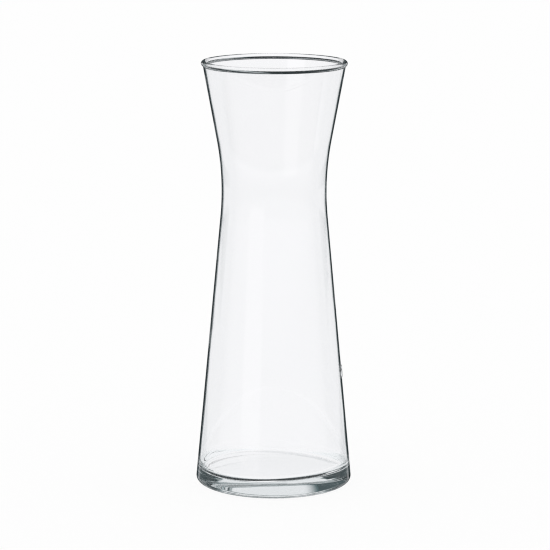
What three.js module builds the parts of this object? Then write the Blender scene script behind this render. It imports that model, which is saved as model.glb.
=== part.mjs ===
// Clear glass carafe: an open, waisted vessel turned about the Z axis.
// Lengths are millimetres and angles degrees. It stands on the plane z = 0.
// The wall is two cones joined by one tangent curve, and its inside is the same line set in by the wall.
// The glass is laid out in five zones that meet on level faces: base, body, waist, neck and rim.

import * as THREE from "three";

// Outside form
const WAIST_RADIUS = 32; // narrowest outside radius
const WAIST_HEIGHT = 181; // height of the narrowest circle
const WAIST_CURVE = 170; // radius of the curve through the waist, seen from the side
const MOUTH_RISE = 79; // from the narrowest circle up to the top of the rim
const BODY_TAPER = 5.35; // lean of the body wall, inwards as it rises
const MOUTH_FLARE = 10.5; // lean of the neck wall, outwards as it rises
const HEEL_RADIUS = 3.5; // rounding between the body wall and the underside

// Glass
const WALL = 1.5; // thickness of the wall, square to its surface
const BEAD_DIAMETER = 3.2; // round bead of the rim, centred on the wall
const BASE_THICKNESS = 8; // height of the floor above the foot ring
const FLOOR_CORNER = 5.8; // rounding between the floor and the inside wall
const FOOT_RING = 6; // width of the level ring that the vessel stands on
const PUNT_RISE = 0.6; // hollow under the middle of the base

// Fineness of the round surfaces
const FACETS = 72; // around the axis
const CORNER_STEPS = 6;
const PUNT_STEPS = 4;
const WAIST_STEPS = 10;
const BEAD_STEPS = 16;

const GLASS = { color: 0xf1f6f5, roughness: 0.02, metalness: 0, transparent: true, opacity: 0.35 };

const taper = THREE.MathUtils.degToRad(BODY_TAPER);
const flare = THREE.MathUtils.degToRad(MOUTH_FLARE);

// Heights of the level faces between the zones
const curveReach = WAIST_CURVE + WALL;
const baseTop = BASE_THICKNESS + FLOOR_CORNER * (1 + Math.sin(taper));
const waistBottom = WAIST_HEIGHT - curveReach * Math.sin(taper);
const waistTop = WAIST_HEIGHT + curveReach * Math.sin(flare);

// The bead is a round of glass that stands proud of both sides of the wall.
const beadRadius = BEAD_DIAMETER / 2;
const beadHeight = WAIST_HEIGHT + MOUTH_RISE - beadRadius;
const beadOpening = Math.acos(WALL / BEAD_DIAMETER);
const beadStart = -flare - beadOpening;
const beadEnd = Math.PI - flare + beadOpening;
const neckTop = beadHeight + beadRadius * Math.sin(beadStart);

/** Radius at height z of the surface that lies `inset` inside the outer wall. */
function wallRadius(z, inset) {
  const sweep = WAIST_CURVE + inset;
  const rise = z - WAIST_HEIGHT;
  const onCurve = THREE.MathUtils.clamp(rise, -sweep * Math.sin(taper), sweep * Math.sin(flare));
  const lean = rise < 0 ? -Math.tan(taper) : Math.tan(flare);
  return WAIST_RADIUS + WAIST_CURVE - Math.sqrt(sweep ** 2 - onCurve ** 2) + lean * (rise - onCurve);
}

/** Point of the section, on the wall that lies `inset` inside the outer wall. */
function wallPoint(z, inset) {
  return new THREE.Vector2(wallRadius(z, inset), z);
}

/** Values from one number to another in equal steps, both ends included. */
function spread(from, to, steps) {
  return Array.from({ length: steps + 1 }, (_, i) => from + ((to - from) * i) / steps);
}

/** Points of a round in the section, counterclockwise between two angles. */
function round(r, z, radius, from, to, steps) {
  return spread(from, to, steps).map(
    (angle) => new THREE.Vector2(r + radius * Math.cos(angle), z + radius * Math.sin(angle)),
  );
}

/** Rounded corner from a level floor up to the body wall, tangent to both. */
function corner(floorHeight, radius, inset) {
  const height = floorHeight + radius;
  const r = wallRadius(height, inset) - radius / Math.cos(taper);
  return round(r, height, radius, -Math.PI / 2, taper, CORNER_STEPS);
}

/** Section of the base, from the middle of the punt round the heel and back along the floor. */
function baseSection() {
  const heel = corner(0, HEEL_RADIUS, 0);
  const puntRadius = heel[0].x - FOOT_RING;
  const punt = spread(0, 1, PUNT_STEPS).map(
    (share) => new THREE.Vector2(puntRadius * share, PUNT_RISE * (1 - share ** 2)),
  );
  const inside = corner(BASE_THICKNESS, FLOOR_CORNER, WALL).reverse();
  const floorMiddle = new THREE.Vector2(0, BASE_THICKNESS);
  return [...punt, ...heel, wallPoint(baseTop, 0), ...inside, floorMiddle];
}

/** Section of a stretch of wall, up the outside and down the inside. */
function wallSection(heights) {
  const outside = heights.map((z) => wallPoint(z, 0));
  const inside = heights.map((z) => wallPoint(z, WALL)).reverse();
  return [...outside, ...inside];
}

/** Section of the rim, over the bead from outside to inside and down to the neck. */
function rimSection() {
  const centre = wallRadius(beadHeight, WALL / 2);
  const bead = round(centre, beadHeight, beadRadius, beadStart, beadEnd, BEAD_STEPS);
  return [...bead, wallPoint(neckTop, WALL)];
}

/** Turns a section about the Z axis into a solid, closing it where it doesn't start on the axis. */
function turned(section) {
  const outline = section[0].x > 0 ? [...section, section[0]] : section;
  return new THREE.LatheGeometry(outline, FACETS).rotateX(Math.PI / 2);
}

/** One zone of the glass. */
function zone(name, section) {
  const mesh = new THREE.Mesh(turned(section), new THREE.MeshStandardMaterial(GLASS));
  mesh.name = name;
  return mesh;
}

const carafe = new THREE.Group();
carafe.add(
  zone("base", baseSection()),
  zone("body", wallSection([baseTop, waistBottom])),
  zone("waist", wallSection(spread(waistBottom, waistTop, WAIST_STEPS))),
  zone("neck", wallSection([waistTop, neckTop])),
  zone("rim", rimSection()),
);

export default carafe;
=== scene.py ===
"""A clear glass carafe on a plain pale floor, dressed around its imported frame.

Lengths are metres, +Z is up and the carafe stands on z = 0 with its axis on the origin. The glass is one
surface of revolution with the small unevenness of mould-blown glass, and it stands for the five zones of the
frame.
"""

from __future__ import annotations

import logging
import math
from dataclasses import dataclass, field, replace
from enum import Enum

import bpy
import numpy as np
from mathutils import Matrix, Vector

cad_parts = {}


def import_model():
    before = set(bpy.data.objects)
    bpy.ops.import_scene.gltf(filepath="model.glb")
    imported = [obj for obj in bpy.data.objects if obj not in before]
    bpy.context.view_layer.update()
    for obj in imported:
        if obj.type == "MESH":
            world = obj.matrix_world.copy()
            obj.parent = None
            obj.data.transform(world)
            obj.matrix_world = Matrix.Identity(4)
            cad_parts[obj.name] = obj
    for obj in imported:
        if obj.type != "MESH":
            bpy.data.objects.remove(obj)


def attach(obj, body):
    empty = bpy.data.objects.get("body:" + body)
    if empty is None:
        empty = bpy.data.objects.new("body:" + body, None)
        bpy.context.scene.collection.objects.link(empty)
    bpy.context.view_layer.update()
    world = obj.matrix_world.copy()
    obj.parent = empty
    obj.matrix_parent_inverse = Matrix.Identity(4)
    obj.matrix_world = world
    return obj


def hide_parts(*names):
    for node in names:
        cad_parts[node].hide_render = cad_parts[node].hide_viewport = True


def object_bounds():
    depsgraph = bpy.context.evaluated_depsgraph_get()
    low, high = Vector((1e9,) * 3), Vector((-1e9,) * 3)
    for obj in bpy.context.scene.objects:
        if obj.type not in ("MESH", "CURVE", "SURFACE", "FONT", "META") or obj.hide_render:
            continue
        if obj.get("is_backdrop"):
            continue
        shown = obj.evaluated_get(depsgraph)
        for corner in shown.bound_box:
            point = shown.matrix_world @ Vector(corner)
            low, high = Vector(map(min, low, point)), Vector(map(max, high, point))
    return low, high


LOG = logging.getLogger("carafe")
BODY = "root"
ZONES = ("base", "body", "waist", "neck", "rim")
IMAGE_SIDE = 550

# Inputs of a Mix node that take its two numbers or its two colours, and the output that gives the colour
MIX_NUMBERS = (2, 3)
MIX_COLOURS = (6, 7)
MIX_COLOUR_OUT = 2

# Ends of the angles that a ray can have, in degrees
NADIR = -90.0
ZENITH = 90.0
HALF_TURN = 180.0

# Least and most counts of refractions or reflections, with MANY for no limit
MANY = 99
NEVER = (0, 0)
ONCE = (1, 1)
TWICE = (2, 2)
THRICE = (3, 3)
FOUR_TIMES = (4, 4)
UP_TO_TWICE = (0, 2)
BETWEEN_COUNTS = 0.5


class Stretch(Enum):
    """The stretches of the glass section, in the order in which the outline runs."""

    PUNT = 0
    FOOT = 1
    HEEL = 2
    OUTSIDE = 3
    BEAD = 4
    INSIDE = 5
    CORNER = 6
    FLOOR = 7


@dataclass(frozen=True)
class WallLine:
    """Side view of the wall: a body cone and a neck cone, joined by one tangent curve at the waist."""

    waist_radius: float = 0.0319
    waist_height: float = 0.181
    waist_curve: float = 0.170
    body_taper: float = math.radians(5.35)
    mouth_flare: float = math.radians(10.5)

    def radius(self, z: np.ndarray, inset: float) -> np.ndarray:
        """Radius of the surface that lies `inset` inside the outer wall.

        On the curve it is the arc of radius waist_curve + inset about a centre outside the glass. Past the
        arc's ends it goes on along the tangent.

        Args:
            z: heights above the floor.
            inset: distance into the glass, square to the wall.

        Returns:
            The radius at each height.
        """
        sweep = self.waist_curve + inset
        rise = np.asarray(z, dtype=float) - self.waist_height
        on_curve = np.clip(rise, -sweep * math.sin(self.body_taper), sweep * math.sin(self.mouth_flare))
        lean = np.where(rise < 0, -math.tan(self.body_taper), math.tan(self.mouth_flare))
        arc = self.waist_radius + self.waist_curve - np.sqrt(sweep**2 - on_curve**2)
        return arc + lean * (rise - on_curve)


@dataclass(frozen=True)
class Section:
    """Closed outline of the glass, in radius and height, from the punt round to the floor."""

    radius: np.ndarray
    height: np.ndarray
    stretch: np.ndarray


@dataclass
class SectionDrawer:
    """Draws the glass section from its driving sizes."""

    line: WallLine
    top: float
    wall: float = 0.0015
    bead_diameter: float = 0.0032
    base_thickness: float = 0.0080
    floor_corner: float = 0.0058
    heel_radius: float = 0.0028
    foot_ring: float = 0.006
    punt_rise: float = 0.0006
    wall_rings: int = 110
    round_rings: int = 16
    bead_rings: int = 32
    bead_fillet: float = 0.0014
    fillet_rings: int = 8
    joint: float = 0.0002

    def corner(self, floor: float, radius: float, inset: float) -> tuple[np.ndarray, np.ndarray]:
        """Quarter round, tangent to a level floor and to the body wall.

        Args:
            floor: height of the level surface.
            radius: radius of the round.
            inset: which wall it meets, as a distance into the glass.

        Returns:
            Radii and heights, from the floor up to the wall.
        """
        taper = self.line.body_taper
        middle = float(self.line.radius(np.array(floor + radius), inset)) - radius / math.cos(taper)
        angle = np.linspace(-math.pi / 2, taper, self.round_rings)
        return middle + radius * np.cos(angle), floor + radius + radius * np.sin(angle)

    def bead(self) -> tuple[np.ndarray, np.ndarray]:
        """Round of the rim, proud of both sides of the wall, with a hollow fillet to each of them.

        The round is centred on the middle of the wall. A fillet of radius f touches it and the wall where the
        line between their centres makes the angle acos((w / 2 + f) / (r + f)) with the wall's normal.

        Returns:
            Radii and heights, from the outer wall over the round to the inner wall.
        """
        flare = self.line.mouth_flare
        radius, fillet = self.bead_diameter / 2, self.bead_fillet
        middle = np.array([0.0, self.top - radius])
        middle[0] = self.line.radius(middle[1], self.wall / 2)
        normal = np.array([math.cos(flare), -math.sin(flare)])
        along = np.array([math.sin(flare), math.cos(flare)])
        aside = self.wall / 2 + fillet
        touch = math.acos(aside / (radius + fillet))
        below = along * (radius + fillet) * math.sin(touch)
        turn = np.linspace(0.0, touch, self.fillet_rings)[:, None]
        angle = np.linspace(-touch, math.pi + touch, self.bead_rings)[1:-1, None]
        outer = middle + normal * aside - below - fillet * (normal * np.cos(turn) - along * np.sin(turn))
        round_ = middle + radius * (normal * np.cos(angle) + along * np.sin(angle))
        inner = middle - normal * aside - below + fillet * (normal * np.cos(turn) + along * np.sin(turn))
        points = np.concatenate([outer, round_, inner[::-1]])
        return points[:, 0], points[:, 1]

    def draw(self, more: np.ndarray) -> Section:
        """Joins the stretches into one outline that starts and ends on the axis.

        Args:
            more: heights at which the outside has further rings.

        Returns:
            The section, with the stretch that each point belongs to.
        """
        heel_r, heel_z = self.corner(0.0, self.heel_radius, 0.0)
        corner_r, corner_z = self.corner(self.base_thickness, self.floor_corner, self.wall)
        bead_r, bead_z = self.bead()
        share = np.linspace(0.0, 1.0, self.round_rings)
        floor_z = np.full(self.round_rings - 1, self.base_thickness)
        punt_edge = heel_r[0] - self.foot_ring
        outside_z = np.linspace(heel_z[-1], bead_z[0] - self.joint, self.wall_rings)[1:]
        outside_z = np.sort(np.append(outside_z, more))
        inside_z = np.linspace(bead_z[-1] - self.joint, corner_z[-1], self.wall_rings)[:-1]
        pieces = {
            Stretch.PUNT: (punt_edge * share, self.punt_rise * (1 - share**2) ** 2),
            Stretch.FOOT: (np.array([(punt_edge + heel_r[0]) / 2]), np.zeros(1)),
            Stretch.HEEL: (heel_r, heel_z),
            Stretch.OUTSIDE: (self.line.radius(outside_z, 0.0), outside_z),
            Stretch.BEAD: (bead_r, bead_z),
            Stretch.INSIDE: (self.line.radius(inside_z, self.wall), inside_z),
            Stretch.CORNER: (corner_r[::-1], corner_z[::-1]),
            Stretch.FLOOR: (corner_r[0] * (1 - share[1:]), floor_z),
        }
        return Section(
            np.concatenate([r for r, _ in pieces.values()]),
            np.concatenate([z for _, z in pieces.values()]),
            np.concatenate([np.full(len(r), stretch.value) for stretch, (r, _) in pieces.items()]),
        )


@dataclass(frozen=True)
class Unevenness:
    """Small departure of the glass from its true round: the floor leans and winds."""

    floor_lean: float = -0.0277
    floor_wind: float = -1.15

    def lift(self, x: np.ndarray, y: np.ndarray) -> np.ndarray:
        """Height of the floor above its mean level, floor_lean * y + floor_wind * x * y."""
        return self.floor_lean * y + self.floor_wind * x * y


@dataclass(frozen=True)
class Pad:
    """Blank oval pad that stands a little proud of the body on its +X side."""

    height: float = 0.0687
    half_tall: float = 0.0043
    half_wide: float = 0.007
    proud: float = 0.0005
    edge: float = 0.3
    rings: int = 24

    def heights(self) -> np.ndarray:
        """Heights of the rings that the pad needs of its own."""
        return np.linspace(self.height - self.half_tall, self.height + self.half_tall, self.rings)

    def rise(self, radius: np.ndarray, angle: np.ndarray, z: np.ndarray) -> np.ndarray:
        """How far the surface stands out: proud * s * s * (3 - 2 * s), with s the share (1 - d) / edge.

        Here d is the oval distance from the middle of the pad, 1 on its edge.

        Args:
            radius: radius of the wall.
            angle: angle from +X.
            z: height.

        Returns:
            The rise at each point.
        """
        across = radius * (np.mod(angle + math.pi, 2 * math.pi) - math.pi) / self.half_wide
        along = (z - self.height) / self.half_tall
        step = np.clip((1 - np.hypot(across, along)) / self.edge, 0.0, 1.0)
        return self.proud * step * step * (3 - 2 * step)


class Nodes:
    """Small helper that adds shader nodes and links them."""

    def __init__(self, tree: bpy.types.NodeTree) -> None:
        """Empties a node tree and keeps it."""
        self.tree = tree
        tree.nodes.clear()

    def add(self, kind: str, inputs: dict | None = None, **settings: object) -> bpy.types.Node:
        """Adds one node.

        Args:
            kind: the node's type.
            inputs: value or output socket for each input, by name or number.
            settings: properties of the node.

        Returns:
            The node.
        """
        node = self.tree.nodes.new(kind)
        for name, value in settings.items():
            setattr(node, name, value)
        for name, value in (inputs or {}).items():
            if isinstance(value, bpy.types.NodeSocket):
                self.tree.links.new(value, node.inputs[name])
            else:
                node.inputs[name].default_value = value
        return node

    def math(self, operation: str, a: object, b: object = 0.0) -> bpy.types.NodeSocket:
        """Adds one Math node on two values or sockets and returns its output."""
        return self.add("ShaderNodeMath", {0: a, 1: b}, operation=operation).outputs[0]

    def ramp(
        self, value: object, low: float, high: float, at_low: float, at_high: float
    ) -> bpy.types.NodeSocket:
        """Smooth step of a value between two levels.

        Args:
            value: the socket to map.
            low: where the step starts.
            high: where the step ends.
            at_low: result at and before low.
            at_high: result at and after high.

        Returns:
            The mapped socket.
        """
        inputs = {"Value": value, "From Min": low, "From Max": high, "To Min": at_low, "To Max": at_high}
        return self.add("ShaderNodeMapRange", inputs, interpolation_type="SMOOTHSTEP").outputs[0]

    def mix(self, share: object, a: object, b: object) -> bpy.types.NodeSocket:
        """Adds one Mix node on two numbers and returns a where share is 0 and b where it is 1."""
        inputs = dict(zip((0, *MIX_NUMBERS), (share, a, b)))
        return self.add("ShaderNodeMix", inputs, data_type="FLOAT").outputs[0]

    def blend(self, share: object, a: object, b: object) -> bpy.types.NodeSocket:
        """Adds one Mix node on two colours.

        Args:
            share: how far the result is b.
            a: colour or socket where share is 0.
            b: colour or socket where share is 1.

        Returns:
            The mixed colour's socket.
        """
        shades = [(*shade, 1.0) if isinstance(shade, tuple) else shade for shade in (a, b)]
        inputs = dict(zip((0, *MIX_COLOURS), (share, *shades)))
        return self.add("ShaderNodeMix", inputs, data_type="RGBA").outputs[MIX_COLOUR_OUT]


@dataclass(frozen=True)
class ClearGlass:
    """Clear soda-lime glass, grey-green where it is thick, with the faint ripple of blown glass.

    The ripple is a noise of ripples_per_metre waves, ripple_depth from its lowest to its highest place.
    """

    name: str = "clear_glass"
    colour: tuple[float, float, float] = (1.0, 1.0, 1.0)
    roughness: float = 0.0
    transmission: float = 1.0
    ior: float = 1.5
    tint: tuple[float, float, float] = (0.3, 0.6, 0.62)
    density: float = 0.8
    ripples_per_metre: float = 55.0
    ripple_depth: float = 0.00006
    ripple_detail: float = 1.0

    def material(self) -> bpy.types.Material:
        """Builds the glass shader with plain transmission, plain absorption and the ripple as its bump.

        Returns:
            The material.
        """
        material = bpy.data.materials.new(self.name)
        material.use_nodes = True
        nodes = Nodes(material.node_tree)
        place = nodes.add("ShaderNodeTexCoord").outputs["Object"]
        noise = {"Vector": place, "Scale": self.ripples_per_metre, "Detail": self.ripple_detail}
        ripple = nodes.add("ShaderNodeTexNoise", noise)
        bump = nodes.add("ShaderNodeBump", {"Height": ripple.outputs[0], "Distance": self.ripple_depth})
        surface = nodes.add(
            "ShaderNodeBsdfPrincipled",
            {
                "Base Color": (*self.colour, 1),
                "Roughness": self.roughness,
                "IOR": self.ior,
                "Transmission Weight": self.transmission,
                "Normal": bump.outputs[0],
            },
        )
        volume = nodes.add("ShaderNodeVolumeAbsorption", {"Color": (*self.tint, 1), "Density": self.density})
        nodes.add("ShaderNodeOutputMaterial", {"Surface": surface.outputs[0], "Volume": volume.outputs[0]})
        return material


@dataclass
class Carafe:
    """The glass vessel: its section, its unevenness and its finish."""

    drawer: SectionDrawer
    finish: ClearGlass
    uneven: Unevenness = field(default_factory=Unevenness)
    pad: Pad = field(default_factory=Pad)
    name: str = "carafe_glass"
    facets: int = 256

    def points(self, section: Section) -> np.ndarray:
        """Turns the section about Z, x = r cos a and y = r sin a, and lays the unevenness and the pad on it.

        The floor is lifted by the unevenness, and its corner moves up or down along the cone of the inside
        wall.

        Args:
            section: the outline of the glass.

        Returns:
            Points on the grid of section point and angle, the ends on the axis included.
        """
        line, uneven = self.drawer.line, self.uneven
        angle = np.linspace(0.0, 2 * math.pi, self.facets, endpoint=False)[None, :]
        radius = np.repeat(section.radius[:, None], self.facets, axis=1)
        height = np.repeat(section.height[:, None], self.facets, axis=1)
        on = {stretch: section.stretch == stretch.value for stretch in Stretch}
        outside, inside, corner, floor = (
            on[stretch] for stretch in (Stretch.OUTSIDE, Stretch.INSIDE, Stretch.CORNER, Stretch.FLOOR)
        )
        foot = section.radius[corner][-1]
        lift = uneven.lift(foot * np.cos(angle), foot * np.sin(angle))
        inward = lift * math.tan(line.body_taper)
        share = (section.height[inside] - section.height[inside][0]) / np.ptp(section.height[inside])
        share = np.abs(share)[:, None]

        radius[outside] += self.pad.rise(radius[outside], angle, height[outside])
        height[inside] += lift * share
        radius[inside] = line.radius(height[inside], self.drawer.wall)
        height[corner] += lift
        radius[corner] -= inward
        radius[floor] *= 1 - inward / foot
        height[floor] += uneven.lift(radius[floor] * np.cos(angle), radius[floor] * np.sin(angle))

        return np.stack([radius * np.cos(angle), radius * np.sin(angle), height], axis=-1)

    def surface(self) -> tuple[np.ndarray, np.ndarray]:
        """Joins the turned points with faces.

        Returns:
            Vertices, with one for each end on the axis, and the faces' corners as rows of four, with -1 for
            a corner that isn't used.
        """
        grid = self.points(self.drawer.draw(self.pad.heights()))
        vertices = np.concatenate([grid[1:-1].reshape(-1, 3), grid[[0, -1], 0]])
        rings = len(grid) - 2
        index = np.arange(rings * self.facets).reshape(rings, self.facets)
        beside = np.roll(index, -1, axis=1)
        quads = np.stack([index[:-1], beside[:-1], beside[1:], index[1:]], axis=-1).reshape(-1, 4)
        first, last = rings * self.facets, rings * self.facets + 1
        spare = np.full(self.facets, -1)
        under = np.stack([np.full(self.facets, first), beside[0], index[0], spare], axis=-1)
        floor = np.stack([np.full(self.facets, last), index[-1], beside[-1], spare], axis=-1)
        return vertices, np.concatenate([quads, under, floor])

    def build(self) -> bpy.types.Object:
        """Makes the glass mesh and its object.

        Returns:
            The object, at the origin.
        """
        vertices, faces = self.surface()
        used = faces >= 0
        totals = used.sum(axis=1)
        mesh = bpy.data.meshes.new(self.name)
        mesh.vertices.add(len(vertices))
        mesh.vertices.foreach_set("co", vertices.ravel())
        mesh.loops.add(int(totals.sum()))
        mesh.loops.foreach_set("vertex_index", faces[used])
        mesh.polygons.add(len(faces))
        mesh.polygons.foreach_set("loop_start", np.concatenate([[0], np.cumsum(totals)[:-1]]))
        mesh.polygons.foreach_set("use_smooth", np.ones(len(faces), dtype=bool))
        mesh.update(calc_edges=True)
        mesh.validate()
        thing = bpy.data.objects.new(self.name, mesh)
        bpy.context.scene.collection.objects.link(thing)
        return thing

    def dress(self, thing: bpy.types.Object) -> None:
        """Gives the glass its finish and sets it in the place of the frame's zones.

        Args:
            thing: the glass object.
        """
        thing.data.materials.append(self.finish.material())
        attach(thing, BODY)
        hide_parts(*ZONES)


@dataclass
class Floor:
    """Plain pale floor that keeps the vessel's shadow and is white to the camera."""

    name: str = "floor"
    half_side: float = 6.0
    colour: tuple[float, float, float] = (0.9, 0.9, 0.9)
    white_share: float = 0.9

    def build(self) -> bpy.types.Object:
        """Makes the floor, which only the camera and the shadows see.

        Returns:
            The floor object.
        """
        corner = self.half_side * np.array([[-1, -1, 0], [1, -1, 0], [1, 1, 0], [-1, 1, 0]], dtype=float)
        mesh = bpy.data.meshes.new(self.name)
        mesh.from_pydata(corner.tolist(), [], [(0, 1, 2, 3)])
        material = bpy.data.materials.new(self.name)
        material.use_nodes = True
        nodes = Nodes(material.node_tree)
        pale = nodes.add("ShaderNodeBsdfDiffuse", {"Color": (*self.colour, 1)})
        white = nodes.add("ShaderNodeEmission", {"Color": (1, 1, 1, 1), "Strength": 1.0})
        rays = nodes.add("ShaderNodeLightPath")
        share = nodes.math("MULTIPLY", rays.outputs["Is Camera Ray"], self.white_share)
        mixed = nodes.add("ShaderNodeMixShader", {0: share, 1: pale.outputs[0], 2: white.outputs[0]})
        nodes.add("ShaderNodeOutputMaterial", {"Surface": mixed.outputs[0]})
        mesh.materials.append(material)
        thing = bpy.data.objects.new(self.name, mesh)
        thing.visible_transmission = False
        thing.visible_glossy = False
        bpy.context.scene.collection.objects.link(thing)
        thing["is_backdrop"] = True
        return thing


class Parity(Enum):
    """Which counts of reflections a zone of the studio takes."""

    ANY = 0
    ODD = 1


@dataclass(frozen=True)
class Zone:
    """Part of the studio that rays of one kind see at one level of light.

    A ray's kind is told from how often the glass refracted and reflected it. Azimuths are in degrees from the
    photograph's view, towards +X, and elevations in degrees above the horizon.
    """

    level: float
    refracted: tuple[int, int] = (0, MANY)
    reflected: tuple[int, int] = (1, MANY)
    parity: Parity = Parity.ANY
    facing: float = 0.0
    half: float = HALF_TURN
    rise: tuple[float, float] = (NADIR, ZENITH)
    soft_turn: float = 6.0
    soft_rise: float = 3.0


def mirrored(zone: Zone) -> tuple[Zone, Zone]:
    """A zone and its twin on the other side of the view."""
    return zone, replace(zone, facing=-zone.facing)


# Levels of light in the studio, from its dark cards to its white boards
BLACK = 0.0
OUTLINE = 0.01
FLAG = 0.03
SIDE = 0.035
SHADE = 0.07
DUSK = 0.1
TABLE = 0.2
DIM = 0.3
MIDDLE = 0.4
STREAK = 0.42
HAZE = 0.45
HALF = 0.5
PALE = 0.6
MIST = 0.62
FOREGROUND = 0.72
SOFT_LIGHT = 0.85
BOARD = 0.85
WHITE = 1.0

STUDIO_ZONES = (
    # straight through the glass: the ceiling with a narrow light in it, and the dark sides of the room
    Zone(BLACK, reflected=NEVER, rise=(6.0, ZENITH)),
    Zone(BLACK, TWICE, NEVER, half=9.0, rise=(2.0, ZENITH), soft_turn=3.0, soft_rise=2.0),
    Zone(BLACK, TWICE, NEVER, facing=HALF_TURN, half=147.0, rise=(-3.0, ZENITH)),
    Zone(HALF, TWICE, NEVER, facing=-2.4, half=0.6, rise=(3.0, 50.0), soft_turn=0.9, soft_rise=1.0),
    # reflected on the outside: the table, and a dark card behind the vessel
    Zone(TABLE, UP_TO_TWICE, rise=(NADIR, -45.0), soft_rise=9.0),
    Zone(TABLE, NEVER, rise=(NADIR, -38.0)),
    Zone(
        WHITE, UP_TO_TWICE, ONCE,
        facing=HALF_TURN, half=80.0, rise=(-36.0, -25.0), soft_turn=20.0, soft_rise=15.0,
    ),
    *mirrored(
        Zone(DIM, NEVER, facing=52.0, half=14.0, rise=(-12.9, -10.4), soft_turn=3.0, soft_rise=0.6)
    ),
    Zone(OUTLINE, NEVER, half=24.0, rise=(-70.0, 3.0)),
    Zone(OUTLINE, NEVER, half=9.0, rise=(3.0, 60.0)),
    Zone(OUTLINE, NEVER, half=32.0, rise=(4.0, 32.0), soft_turn=4.0, soft_rise=2.0),
    # straight through the upper edge of the rim at its ends
    *mirrored(
        Zone(FLAG, TWICE, NEVER, facing=27.0, half=16.0, rise=(-60.0, -27.5), soft_turn=4.0, soft_rise=2.5)
    ),
    # reflected inside the glass: a pale board with grey streaks between the dark sides
    Zone(WHITE, (3, MANY), (2, MANY)),
    Zone(BOARD, TWICE, ONCE, rise=(0.0, ZENITH)),
    Zone(BOARD, TWICE, (2, MANY)),
    Zone(PALE, TWICE, TWICE, facing=3.0, half=9.0, rise=(-8.0, 25.0), soft_turn=3.0),
    Zone(MIST, TWICE, (4, MANY), half=30.0),
    Zone(HAZE, FOUR_TIMES, FOUR_TIMES, rise=(25.0, 70.0)),
    Zone(DIM, FOUR_TIMES, FOUR_TIMES, facing=HALF_TURN, half=100.0, rise=(14.0, 45.0), soft_turn=20.0),
    Zone(STREAK, TWICE, TWICE, facing=23.0, half=12.0, rise=(-8.0, 50.0), soft_turn=5.0),
    Zone(STREAK, TWICE, (3, MANY), facing=23.0, half=12.0, rise=(28.0, 50.0), soft_turn=5.0),
    Zone(MIDDLE, TWICE, THRICE, half=26.0, rise=(29.0, ZENITH), soft_rise=4.0),
    Zone(DIM, FOUR_TIMES, TWICE, half=6.0, rise=(8.0, 26.0), soft_turn=3.0),
    Zone(MIDDLE, FOUR_TIMES, ONCE, half=5.0, rise=(-31.0, -17.0), soft_turn=3.0, soft_rise=2.0),
    Zone(
        FOREGROUND, (4, 6), ONCE,
        facing=HALF_TURN, half=90.0, rise=(-65.0, -18.0), soft_turn=20.0, soft_rise=5.0,
    ),
    Zone(SIDE, TWICE, (2, MANY), facing=HALF_TURN, half=137.0, soft_turn=9.0),
    Zone(SIDE, TWICE, (2, MANY), facing=40.0, half=8.0, rise=(1.0, 50.0), soft_turn=3.0),
    Zone(SHADE, TWICE, THRICE, facing=-50.0, half=22.0, rise=(14.0, 60.0), soft_turn=12.0),
    Zone(HALF, TWICE, (5, MANY), half=56.0, rise=(-25.0, 60.0), soft_turn=14.0, soft_rise=10.0),
    Zone(FLAG, TWICE, ONCE, facing=HALF_TURN, half=164.0, rise=(8.5, ZENITH), soft_turn=4.0, soft_rise=1.5),
    Zone(FLAG, TWICE, ONCE, facing=-60.0, half=24.0, rise=(0.0, 12.0)),
    Zone(FLAG, TWICE, ONCE, facing=76.0, half=22.0, rise=(0.0, 12.0), soft_turn=3.0),
    Zone(BLACK, TWICE, (4, MANY), rise=(NADIR, -33.0)),
    # reflected once or twice at the heel
    *mirrored(
        Zone(DUSK, TWICE, ONCE, facing=47.0, half=13.0, rise=(-6.0, -1.0), soft_turn=4.0, soft_rise=1.5)
    ),
    *mirrored(
        Zone(FLAG, TWICE, ONCE, facing=37.0, half=5.0, rise=(-18.0, -15.8), soft_turn=2.0, soft_rise=0.6)
    ),
    *mirrored(
        Zone(FLAG, TWICE, ONCE, facing=43.0, half=10.0, rise=(1.0, 9.0), soft_turn=3.0, soft_rise=1.0)
    ),
    *mirrored(
        Zone(FLAG, TWICE, TWICE, facing=45.0, half=12.0, rise=(-26.0, -6.0), soft_turn=3.0, soft_rise=2.0)
    ),
    # reflected once at the ends of the rim
    *mirrored(
        Zone(OUTLINE, NEVER, facing=38.0, half=24.0, rise=(-3.5, 4.0), soft_turn=4.0, soft_rise=1.0)
    ),
    *mirrored(
        Zone(FLAG, TWICE, ONCE, facing=29.0, half=11.0, rise=(-3.5, 2.5), soft_turn=3.0, soft_rise=1.0)
    ),
    *mirrored(
        Zone(DIM, TWICE, ONCE, facing=27.0, half=6.0, rise=(3.0, 8.0), soft_turn=3.0, soft_rise=1.0)
    ),
    # reflected once in the inside corner of the base
    Zone(WHITE, TWICE, ONCE, rise=(NADIR, -21.0)),
    Zone(BLACK, TWICE, ONCE, facing=HALF_TURN, half=169.0, rise=(NADIR, -42.0), soft_turn=4.0),
    Zone(BLACK, TWICE, ONCE, facing=HALF_TURN, half=174.0, rise=(-42.0, -21.0), soft_turn=3.0),
    Zone(WHITE, TWICE, ONCE, facing=55.0, half=29.0, rise=(-44.0, -21.0), soft_turn=4.0),
    Zone(BLACK, TWICE, ONCE, rise=(NADIR, -72.0), soft_rise=4.0),
    # reflected in the wall at the outline: the same dark card
    Zone(
        OUTLINE, TWICE, (1, MANY), Parity.ODD, facing=-1.25, half=24.75, rise=(-17.0, -6.0), soft_turn=4.0
    ),
    # a soft light beside the camera
    Zone(SOFT_LIGHT, (0, MANY), ONCE, facing=-142.0, half=12.0, rise=(-4.0, 22.0), soft_turn=8.0),
)


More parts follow.
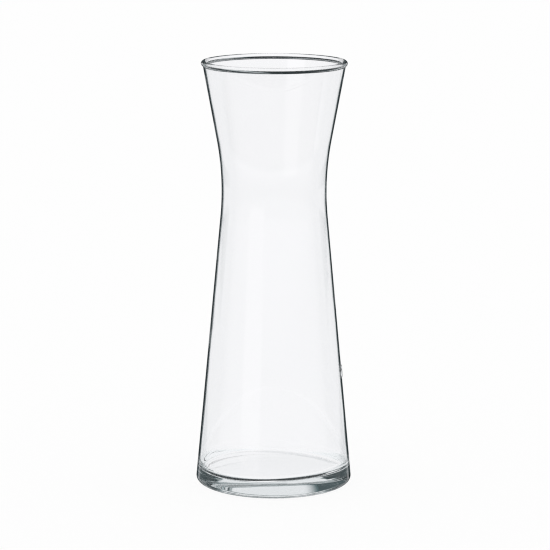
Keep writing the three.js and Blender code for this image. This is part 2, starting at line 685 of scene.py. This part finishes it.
@dataclass
class Studio:
    """Bright field studio: white behind the glass, and a darker room with boards and flags to reflect."""

    zones: tuple[Zone, ...] = STUDIO_ZONES
    backdrop: tuple[float, float, float] = (1.0, 1.0, 1.0)
    ambient: tuple[float, float, float] = (1.0, 1.0, 1.0)
    light: tuple[float, float, float] = (0.985, 0.984, 1.0)
    grey: tuple[float, float, float] = (0.1, 0.15, 0.16)
    grey_level: float = 0.15
    dark: tuple[float, float, float] = (0.022, 0.027, 0.029)
    room_back: float = 0.78
    room_front: float = 0.5
    room_turn: tuple[float, float] = (36.0, 85.0)

    def count(
        self, nodes: Nodes, value: bpy.types.NodeSocket, span: tuple[int, int]
    ) -> list[bpy.types.NodeSocket]:
        """Tests whether a count lies within a span.

        Args:
            nodes: the world's nodes.
            value: socket of the count.
            span: least and most count.

        Returns:
            Sockets that are 1 where the count is within the span, with none for an end that takes in all.
        """
        tests = []
        if span[0] > 0:
            tests.append(nodes.math("GREATER_THAN", value, span[0] - BETWEEN_COUNTS))
        if span[1] < MANY:
            tests.append(nodes.math("LESS_THAN", value, span[1] + BETWEEN_COUNTS))
        return tests

    def share(self, nodes: Nodes, zone: Zone, ray: dict[str, bpy.types.NodeSocket]) -> bpy.types.NodeSocket:
        """How far a ray belongs to a zone.

        Args:
            nodes: the world's nodes.
            zone: the zone.
            ray: sockets of the ray's x, y, rise, level, refracted, reflected and odd.

        Returns:
            The socket, 0 outside the zone and 1 well inside it.
        """
        parts = self.count(nodes, ray["refracted"], zone.refracted)
        parts += self.count(nodes, ray["reflected"], zone.reflected)
        if zone.parity is Parity.ODD:
            parts.append(ray["odd"])
        if zone.half < HALF_TURN:
            facing = math.radians(zone.facing)
            along = nodes.math("MULTIPLY", ray["y"], math.cos(facing))
            along = nodes.math("ADD", along, nodes.math("MULTIPLY", ray["x"], math.sin(facing)))
            aside = nodes.math("DEGREES", nodes.math("ARCCOSINE", nodes.math("DIVIDE", along, ray["level"])))
            parts.append(nodes.ramp(aside, zone.half, zone.half + zone.soft_turn, 1.0, 0.0))
        low, high = zone.rise
        if low > NADIR:
            parts.append(nodes.ramp(ray["rise"], low - zone.soft_rise, low, 0.0, 1.0))
        if high < ZENITH:
            parts.append(nodes.ramp(ray["rise"], high, high + zone.soft_rise, 1.0, 0.0))
        whole = parts[0]
        for part in parts[1:]:
            whole = nodes.math("MULTIPLY", whole, part)
        return whole

    def build(self) -> bpy.types.World:
        """Builds the world's shader.

        Returns:
            The world.
        """
        world = bpy.data.worlds.new("studio")
        world.use_nodes = True
        nodes = Nodes(world.node_tree)
        parts = nodes.add("ShaderNodeSeparateXYZ", {0: nodes.add("ShaderNodeTexCoord").outputs["Generated"]})
        x, y, z = parts.outputs
        rays = nodes.add("ShaderNodeLightPath").outputs
        angle = nodes.math("ARCSINE", z)
        ray = {
            "x": x,
            "y": y,
            "rise": nodes.math("DEGREES", angle),
            "level": nodes.math("COSINE", angle),
            "refracted": rays["Transmission Depth"],
            "reflected": rays["Glossy Depth"],
            "odd": nodes.math("MODULO", rays["Glossy Depth"], 2.0),
        }
        turn = nodes.math("DEGREES", nodes.math("ABSOLUTE", nodes.math("ARCTAN2", x, y)))
        room = nodes.ramp(turn, *self.room_turn, self.room_back, self.room_front)
        seen = nodes.mix(nodes.math("MINIMUM", rays["Glossy Depth"], 1.0), 1.0, room)
        for zone in self.zones:
            seen = nodes.mix(self.share(nodes, zone, ray), seen, zone.level)

        by_glass = nodes.math("MAXIMUM", rays["Is Transmission Ray"], rays["Is Glossy Ray"])
        not_diffused = nodes.math("LESS_THAN", rays["Diffuse Depth"], BETWEEN_COUNTS)
        by_glass = nodes.math("MULTIPLY", by_glass, not_diffused)
        to_grey = nodes.math("MINIMUM", nodes.math("DIVIDE", seen, self.grey_level), 1.0)
        to_light = nodes.math("DIVIDE", nodes.math("SUBTRACT", seen, self.grey_level), 1.0 - self.grey_level)
        in_glass = nodes.blend(to_grey, self.dark, self.grey)
        in_glass = nodes.blend(nodes.math("MAXIMUM", to_light, 0.0), in_glass, self.light)
        colour = nodes.blend(by_glass, self.ambient, in_glass)
        colour = nodes.blend(rays["Is Camera Ray"], colour, self.backdrop)
        light = nodes.add("ShaderNodeBackground", {"Color": colour, "Strength": 1.0})
        nodes.add("ShaderNodeOutputWorld", {"Surface": light.outputs[0]})
        bpy.context.scene.world = world
        return world


@dataclass
class PhotoCamera:
    """Camera at the photograph's place, fitted to the vessel's outline and to its rim and base."""

    distance: float = 1.4968
    height: float = 0.419
    pitch: float = math.radians(10.982)
    roll: float = math.radians(0.12)
    focal_pixels: float = 2493.6
    axis_offset_pixels: float = -1.08
    sensor: float = 36.0
    reach: float = 50.0

    def build(self) -> bpy.types.Object:
        """Makes the camera and sets it as the scene's own.

        Returns:
            The camera object.
        """
        data = bpy.data.cameras.new("photo_camera")
        data.sensor_width = self.sensor
        data.lens = self.focal_pixels / IMAGE_SIDE * self.sensor
        data.clip_end = self.reach
        camera = bpy.data.objects.new("photo_camera", data)
        aside = -self.axis_offset_pixels * self.distance / self.focal_pixels
        camera.location = (aside, -self.distance, self.height)
        aim = Matrix.Rotation(math.pi / 2 - self.pitch, 3, "X") @ Matrix.Rotation(self.roll, 3, "Z")
        camera.rotation_euler = aim.to_euler()
        bpy.context.scene.collection.objects.link(camera)
        bpy.context.scene.camera = camera
        return camera


@dataclass(frozen=True)
class LightPaths:
    """How far light runs on inside the thick base, where it reflects many times, and how crisp pixels are."""

    bounces: int = 64
    glossy: int = 56
    transmission: int = 24
    pixel_width: float = 1.2

    def build(self) -> None:
        """Sets the counts of bounces and the width of the pixel filter."""
        cycles = bpy.context.scene.cycles
        cycles.max_bounces = self.bounces
        cycles.glossy_bounces = self.glossy
        cycles.transmission_bounces = self.transmission
        cycles.filter_width = self.pixel_width


def main() -> None:
    """Builds the stage and the carafe."""
    logging.basicConfig(level=logging.INFO, format="%(name)s: %(message)s")
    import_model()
    cad_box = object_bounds()
    bpy.context.scene.view_settings.view_transform = "Standard"
    LightPaths().build()
    PhotoCamera().build()
    Studio().build()
    Floor().build()
    drawer = SectionDrawer(WallLine(), top=cad_box[1].z)
    carafe = Carafe(drawer, ClearGlass())
    glass = carafe.build()
    carafe.dress(glass)
    LOG.info("%s: %d faces", glass.name, len(glass.data.polygons))


if __name__ == "__main__":
    main()
